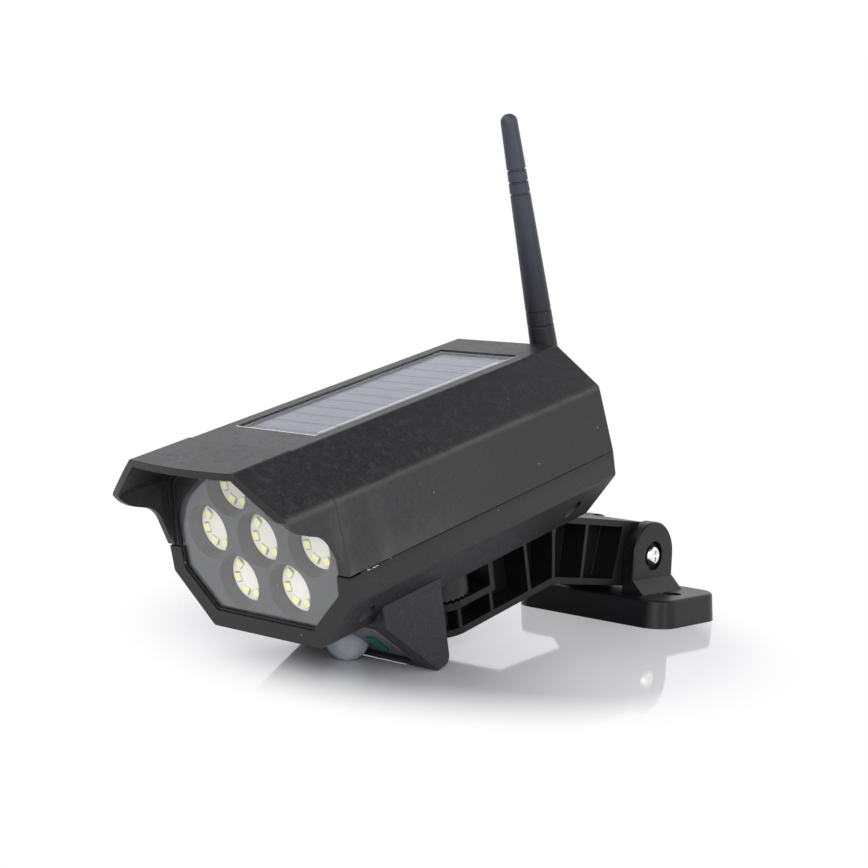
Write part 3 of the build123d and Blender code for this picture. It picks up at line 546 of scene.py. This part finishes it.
sheet_half = 21.5
sheet_front = 20.0
sheet_back = 143.8
backing_low = -2.15
backing_high = -1.24
strip_count = 11
strip_front = 25.0
strip_pitch = 10.05
strip_gap = 0.8
strip_half = 18.9
strip_high = -1.12
tab_across = 17.4
tab_wide = 0.6
tab_gap = 0.4
tab_thick = 0.1
finger_pitch = 1.25
form = bmesh.new()
middle = ((sheet_front + sheet_back) / 2, (backing_low + backing_high) / 2)
spread = (2 * sheet_half, sheet_back - sheet_front, backing_high - backing_low)
add_block(form, Matrix.Translation((0, *middle)), spread, 0.1, 0)
for k in range(strip_count):
    y = strip_front + (k + 0.5) * strip_pitch
    centre = Matrix.Translation((0, y, (strip_high + backing_high) / 2))
    size = (2 * strip_half, strip_pitch - strip_gap, strip_high - backing_high + 0.02)
    add_block(form, centre, size, 0.03, 1)
made, spot = new_finish("solar backing")
own = along_head(spot)
backing = shade(made, {
    "Base Color": own.noise(6.0, 3.0).blend((0.034, 0.040, 0.058, 1), (0.044, 0.051, 0.072, 1)),
    "Roughness": 0.5 + own.noise(3.0, 2.0) * 0.2,
}, own.noise(0.7, 2.0), 0.01, 0.05)
made, spot = new_finish("solar cells")
own = along_head(spot)
finger = abs((own.part(0) / finger_pitch) % 1.0 - 0.5).rise(0.42, 0.48)
shimmer = own.vector("MULTIPLY", (0.10, 1.0, 1.0)).noise(2.4, 4.0).rise(0.25, 0.75)
cell = shimmer.blend((0.045, 0.052, 0.078, 1), (0.078, 0.088, 0.122, 1))
cell = (finger * 0.3).blend(cell, (0.20, 0.21, 0.24, 1))
seam = abs(((own.part(1) - strip_front) / strip_pitch) % 1.0 - 0.5).rise(0.34, 0.47)
cells = shade(made, {
    "Base Color": (seam * 0.6).blend(cell, (0.030, 0.035, 0.052, 1)),
    "Roughness": 0.26 + shimmer * 0.1,
    "Specular IOR Level": 0.1,
}, finger, 0.01, 0.05)
on_head("solar_strips", form, [backing, cells], "solar_blue", "solar_cells")
made, spot = new_finish("printed silver")
print_grain = along_head(spot).noise(0.7, 2.0)
silver = shade(made, {
    "Base Color": print_grain.blend(grey(0.62), grey(0.80)),
    "Metallic": 0.5,
    "Roughness": 0.4 + print_grain * 0.15,
}, print_grain, 0.01, 0.03)
form = bmesh.new()
for k in range(strip_count):
    y = strip_front + (k + 0.5) * strip_pitch
    centre = Matrix.Translation((tab_across, y, strip_high + tab_thick / 2))
    add_block(form, centre, (tab_wide, strip_pitch - tab_gap, tab_thick), 0.04)
on_head("solar_tabs", form, [silver], "ribbon_silver", "solar_ribbon")


def clear_sheet(name, tint, rough, index, dusty):
    """Clear plastic that lets the lamps' light through to what is behind it, with dust on its face."""
    made, spot = new_finish(name)
    wire = Wire(made.node_tree)
    own = along_head(spot)
    shader = made.node_tree.nodes["Principled BSDF"]
    wire.feed(shader, {
        "Base Color": tint,
        "Roughness": rough,
        "IOR": index,
        "Transmission Weight": 1.0,
    })
    open_way = wire.node("BsdfTransparent", {}, {"Color": tint})
    lamp_ray = wire.node("LightPath", out="Is Shadow Ray")
    pane = Wire(made.node_tree, shader.outputs[0])
    mixed = wire.node("MixShader", {}, {0: lamp_ray, 1: pane, 2: open_way})
    dust = specks(own, 7.0, 0.55, dusty) * 0.6
    grime = wire.node("BsdfDiffuse", {}, {"Color": grey(0.55)})
    mixed = wire.node("MixShader", {}, {0: dust, 1: mixed, 2: grime})
    wire.feed(made.node_tree.nodes["Material Output"], {"Surface": mixed})
    return made


skin_low = -0.96
skin_flat = -0.88
near_climb = 0.66
near_reach = 1.0
far_climb = 0.84
far_reach = 2.0
across_steps = 48
along_steps = 96


def skin_height(x, y):
    """The skin's level: flat in the middle, drawn up the pocket's walls while it was wet."""
    near = near_climb * exp(max(x - sheet_half, sheet_front - y) / near_reach)
    far = far_climb * exp(max(-sheet_half - x, y - sheet_back) / far_reach)
    return skin_flat + max(near, far)


def spread_out(low, high, steps):
    """Places from low to high that crowd towards both ends."""
    half = (high - low) / 2
    return [low + half * (1 - cos(pi * k / steps)) for k in range(steps + 1)]


form = bmesh.new()
rows = []
for y in spread_out(sheet_front, sheet_back, along_steps):
    columns = spread_out(-sheet_half, sheet_half, across_steps)
    rows.append([form.verts.new((x, y, skin_height(x, y))) for x in columns])
for near, far in zip(rows, rows[1:]):
    for k in range(across_steps):
        form.faces.new((near[k], near[k + 1], far[k + 1], far[k])).smooth = True
rim = rows[0][:-1] + [row[-1] for row in rows[:-1]]
rim += rows[-1][:0:-1] + [row[0] for row in rows[:0:-1]]
under = [form.verts.new((point.co.x, point.co.y, skin_low)) for point in rim]
for k in range(len(rim)):
    form.faces.new((rim[k - 1], under[k - 1], under[k], rim[k]))
form.faces.new(reversed(under))
# The skin is bonded to the sheet, so only its top face mirrors.
# A low index on both faces does the same.
epoxy = clear_sheet("epoxy skin", (0.95, 0.96, 0.98, 1), rough=0.03, index=1.115, dusty=0.3)
on_head("epoxy_skin", form, [epoxy], "cover_clear", "solar_cover")

# Aerial: a fixed socket, and the elbow and whip that turn on its pin.
# Moulded in a smooth, slightly blue-black rubber, with painted light that makes it paler towards the
# tip.
light_from = 134.0
light_to = 212.0
lit_tip_grey = (0.050, 0.054, 0.072, 1.0)


def painted_light_up(spot):
    """Painted light on the whip, rising from the roof's edge to its tip."""
    return spot.part(2).rise(light_from, light_to) * 0.85


aerial_black = satin_black(
    "aerial satin black", tone=0.014, rough=0.36, blue=1.4, pale=4.0, marks=[(painted_light_up, lit_tip_grey)])
dress(aerial_black, "aerial_socket", "aerial_elbow", "aerial_whip")

# Visor hood: the peak over the lamp, with the upper lamp frame on its back edge.
# A separate moulding in the same grained ABS, plugged into the mouth of the upper shell.
hood_rub_from = -7.0
hood_rub_full = -1.0


def hood_rubs(own):
    """Scuffs on the cheeks, next to the shell."""
    return own.part(1).rise(hood_rub_from, hood_rub_full) * scuffed(own)


def hood_under_shade(own):
    """Painted shade on the hood's underside."""
    down = own.node("TexCoord", out="Normal").part(2) < -0.2
    return down * (own.part(1) < 0.0) * 0.9


hood_marks = [
    (hood_rubs, rub_and_highlight_grey), (ridge_wear_and_highlight, rub_and_highlight_grey), (hood_seam, grey(0.001)), (hood_under_shade, grey(0.001)),
]
dress(grained_black("hood grained black", tone=0.008, rough=0.39, marks=hood_marks), "visor_hood")

# Lamp board: white solder mask on glass-fibre board, behind the cups.
# Four small screws hold it to the cup panel's pillars.
made, spot = new_finish("white solder mask")
own = along_head(spot)
weave = own.noise(0.8, 2.0)
board_white = shade(made, {
    "Base Color": own.noise(12.0, 3.0).blend((0.93, 0.92, 0.88, 1), (0.97, 0.96, 0.92, 1)),
    "Roughness": 0.35 + weave * 0.1,
}, weave, 0.01, 0.1)
dress(board_white, "led_board")
dress(zinc, "board_screws")

# Lamp chips: seven in each cup, in a ring. Each is a moulded tray filled with yellow phosphor gel,
# soldered to the board on two tinned pads.
board_front = 9.0
cup_pitch = 28.0
cup_row = 19.0
cup_middle = -39.0
chip_count = 7
chip_turn = 17.5
chip_ring = 7.0
chip_wide = 3.5
chip_high = 0.8
gel_wide = 3.16
gel_proud = 0.04
pad_wide = 0.5
pad_long = 2.4
pad_thick = 0.06
cups = [(side * cup_pitch, cup_middle) for side in (-1, 0, 1)]
cups += [(side * cup_pitch / 2, cup_middle + row * cup_row) for side in (-1, 1) for row in (-1, 1)]
form = bmesh.new()
for x, z in cups:
    for k in range(chip_count):
        turn = Matrix.Rotation(tau / chip_count * k + radians(chip_turn), 4, "Y")
        spoke = Matrix.Translation((x, board_front, z)) @ turn @ Matrix.Translation((chip_ring, 0, 0))
        tray = spoke @ Matrix.Translation((0, -chip_high / 2, 0))
        add_block(form, tray, (chip_wide, chip_high, chip_wide), 0.1, 0)
        gel = spoke @ Matrix.Translation((0, -chip_high, 0))
        add_block(form, gel, (gel_wide, 2 * gel_proud, gel_wide), 0.035, 1)
        for side in (-1, 1):
            out = side * (chip_wide + pad_wide) / 2
            pad = spoke @ Matrix.Translation((0, -pad_thick / 2, out))
            add_block(form, pad, (pad_long, pad_thick, pad_wide), 0.02, 2)
made, spot = new_finish("chip tray")
own = along_head(spot)
tray_white = shade(made, {
    "Base Color": own.noise(1.5, 2.0).blend((0.60, 0.60, 0.52, 1), (0.70, 0.70, 0.61, 1)),
    "Roughness": 0.4 + own.noise(0.6, 2.0) * 0.15,
}, own.noise(0.4, 2.0), 0.01, 0.05)
# The gel is given a faint painted glow.
gel_painted_glow = 0.12
made, spot = new_finish("phosphor gel")
own = along_head(spot)
gel = own.noise(1.2, 3.0)
gel_yellow = shade(made, {
    "Base Color": gel.blend((0.97, 0.96, 0.40, 1), (0.99, 0.985, 0.54, 1)),
    "Roughness": 0.3 + gel * 0.15,
    "Emission Color": (1.0, 0.97, 0.50, 1),
    "Emission Strength": gel_painted_glow,
}, gel, 0.02, 0.05)
made, spot = new_finish("tinned pad")
tin = along_head(spot).noise(0.5, 3.0)
tinned = shade(made, {
    "Base Color": tin.blend(grey(0.45), grey(0.62)),
    "Metallic": 0.7,
    "Roughness": 0.3 + tin * 0.2,
}, tin, 0.02, 0.03)
on_head("lamp_chips", form, [tray_white, gel_yellow, tinned], "lamp_yellow", "led_chips")

# Cup panel: one grey satin moulding with seven tapered cups round the lamps.
# The cups' walls carry painted shade, which makes them darker than its face. It is trapped behind the
# lens.
panel_front = 2.5
made, spot = new_finish("cup grey")
own = along_head(spot)
mist = own.noise(9.0, 3.0)
deep_shade = own.part(1).rise(panel_front + 0.05, panel_front + 0.45)
face = mist.blend((0.065, 0.067, 0.078, 1), (0.076, 0.078, 0.090, 1))
wall_shade = mist.blend((0.049, 0.052, 0.061, 1), (0.058, 0.061, 0.071, 1))
dress(shade(made, {
    "Base Color": deep_shade.blend(face, wall_shade),
    "Roughness": 0.42 + mist * 0.12,
}, own.noise(1.4, 2.0), 0.006, 0.25), "reflector_panel")

# Front lens: a clear polycarbonate pane trapped behind the lamp frame.
# It has picked up a little dust.
lens_clear = clear_sheet("lens clear", (1.0, 1.0, 0.985, 1), rough=0.0, index=1.49, dusty=0.6)
dress(lens_clear, "front_lens")

# Studio: a white glossy table in front of a white backdrop, under a dark ceiling, with four soft lamps.
# A black card left of the camera keeps the front faces dark. The table is grey in an oval round the
# part, and washed to white outside it, as the photograph's floor is.
floor_mesh = bpy.data.meshes.new("table")
form = bmesh.new()
bmesh.ops.create_circle(form, cap_ends=True, segments=96, radius=6.0)
form.to_mesh(floor_mesh)
form.free()
table = bpy.data.objects.new("table", floor_mesh)
table.location = (0, -0.12, -0.0001)
bpy.context.scene.collection.objects.link(table)
made, spot = new_finish("table white")
wire = Wire(made.node_tree)
shader = made.node_tree.nodes["Principled BSDF"]
wire.feed(shader, {"Base Color": grey(0.74, 1.05), "Roughness": 0.06, "IOR": 1.5})
oval_across = (0.787, -0.613)
oval_along = (0.613, 0.787)
oval_centre = (-34.0, 5.0)
oval_half = (204.0, 154.0)
haze_from = -21.0
haze_to = 54.0
x = spot.part(0)
y = spot.part(1)
across = oval_across[0] * x + oval_across[1] * y
along = oval_along[0] * x + oval_along[1] * y
off_across = (across - oval_centre[0]) / oval_half[0]
off_along = (along - oval_centre[1]) / oval_half[1]
wash = spot.math("SQRT", off_along * off_along + off_across * off_across).rise(0.58, 1.0)
haze = along.rise(haze_from, haze_to) * 0.3
camera_ray = wire.node("LightPath", out="Is Camera Ray")
seen = camera_ray + wire.node("LightPath", out="Is Transmission Ray")
seen = seen + wire.node("LightPath", out="Is Glossy Ray")
glow = wire.node("Emission", {}, {"Color": grey(1.0), "Strength": 1.0})
bright = wash.math("MAXIMUM", wash * seen, haze * camera_ray)
plain = Wire(made.node_tree, shader.outputs[0])
mixed = wire.node("MixShader", {}, {0: bright, 1: plain, 2: glow})
wire.feed(made.node_tree.nodes["Material Output"], {"Surface": mixed})
floor_mesh.materials.append(made)

card_mesh = bpy.data.meshes.new("black_card")
form = bmesh.new()
bmesh.ops.create_grid(form, size=0.5)
form.to_mesh(card_mesh)
form.free()
card = bpy.data.objects.new("black_card", card_mesh)
card.location = (-0.85, -1.05, 0.46)
card.scale = (1.9, 0.9, 1.0)
card.rotation_euler = (radians(90), 0, radians(-39))
card.visible_camera = False
bpy.context.scene.collection.objects.link(card)
made, spot = new_finish("card black")
card_mesh.materials.append(shade(made, {"Base Color": grey(0.02), "Roughness": 0.9}))

world = bpy.data.worlds.new("studio")
bpy.context.scene.world = world
world.use_nodes = True
wire = Wire(world.node_tree)
height = wire.node("TexCoord", out="Generated").part(2)
level = 1.0 + height.rise(0.10, 0.28) * 0.2 - height.rise(0.55, 0.90) * 1.15
wire.feed(world.node_tree.nodes["Background"], {"Color": grey(1.0, 1.02), "Strength": level})


def soft_lamp(name, place, aim, wide, tall, power):
    lamp = bpy.data.lights.new(name, "AREA")
    lamp.shape = "RECTANGLE"
    lamp.size = wide
    lamp.size_y = tall
    lamp.energy = power
    made = bpy.data.objects.new(name, lamp)
    made.location = place
    made.rotation_mode = "QUATERNION"
    made.rotation_quaternion = (Vector(aim) - Vector(place)).to_track_quat("-Z", "Y")
    made.visible_camera = False
    bpy.context.scene.collection.objects.link(made)


soft_lamp("camera lamp", (0.85, -1.15, 0.42), (0, -0.15, 0.06), 0.5, 0.7, 6.0)
soft_lamp("front lamp", (-0.02, -1.40, 0.34), (0, -0.26, 0.05), 0.5, 0.5, 2.2)
soft_lamp("top lamp", (-0.35, -0.85, 1.4), (0, -0.15, 0.05), 1.0, 1.0, 9.0)
soft_lamp("side lamp", (1.25, -0.18, 0.30), (0, -0.10, 0.05), 0.4, 0.6, 2.9)

# Camera: the photograph's place and lens, for a square frame.
# Its three directions come from the corners of the head.
sight = bpy.data.cameras.new("camera")
sight.lens = 77.61
sight.sensor_width = 36.0
camera = bpy.data.objects.new("camera", sight)
right = (0.75311, 0.65644, 0.04364)
up = (-0.08660, 0.03317, 0.99569)
back = (0.65217, -0.75365, 0.08183)
camera_place = (0.51615, -0.73617, 0.15539)
turn = Matrix((right, up, back)).transposed().to_4x4()
camera.matrix_world = Matrix.Translation(camera_place) @ turn
bpy.context.scene.collection.objects.link(camera)
bpy.context.scene.camera = camera
bpy.context.scene.view_settings.view_transform = "Standard"
